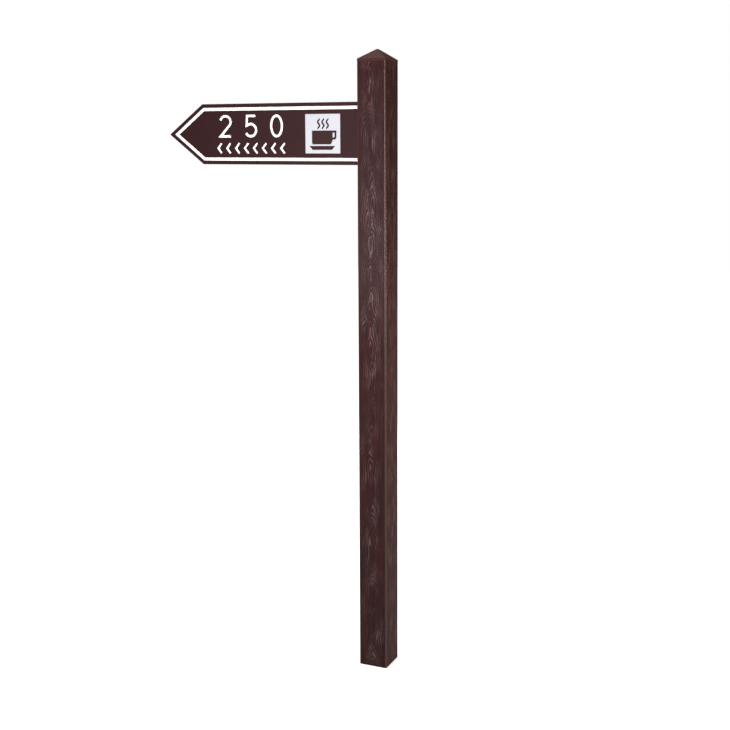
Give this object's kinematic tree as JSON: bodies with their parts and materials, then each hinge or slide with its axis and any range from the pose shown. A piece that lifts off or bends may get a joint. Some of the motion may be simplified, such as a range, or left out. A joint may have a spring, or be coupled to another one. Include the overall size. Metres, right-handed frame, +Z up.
{
  "type": "fingerpost sign",
  "caption": "Square grained post with a low pyramid cap and a flat arrow-shaped finger board near its top, pointing to one side, on a bolted foot.",
  "frame": {"origin": "middle of the post's foot, in the plane of the ground", "axes": "+Z up the post, -X along the finger board to its tip, -Y out of the front of the board"},
  "size_m": [0.828, 0.1, 2.0395],
  "materials": {
    "sleeve": "satin",
    "cap": "satin",
    "screw_paint": "satin",
    "zinc": "satin",
    "nylon": "matte",
    "plug": "satin",
    "board_paint": "satin",
    "rail": "satin",
    "tape": "matte",
    "gasket": "matte"
  },
  "bodies": {
    "root": {"post_sleeve": "sleeve", "post_cap": "cap", "cap_screws": "screw_paint", "steel_core": "zinc", "foot_plate": "zinc", "core_end_plug": "nylon", "lower_spacer": "nylon", "middle_spacer": "nylon", "upper_spacer": "nylon", "top_spacer": "nylon", "sleeve_screws": "screw_paint", "receiver_front": "nylon", "receiver_rear": "nylon", "weld_nuts": "zinc", "tongue_bolts": "zinc", "tongue_washers": "zinc", "access_plugs": "plug", "board_tongue": "zinc", "tongue_packer_front": "rail", "tongue_packer_rear": "rail", "tongue_rivets": "rail", "board_seal": "gasket", "front_sheet": "board_paint", "back_sheet": "board_paint", "top_rail": "board_paint", "bottom_rail": "board_paint", "upper_point_rail": "board_paint", "lower_point_rail": "board_paint", "end_stile": "board_paint", "centre_stiffener": "rail", "corner_keys": "rail", "bonding_tape": "tape", "back_rivets": "board_paint"}
  },
  "joints": []
}
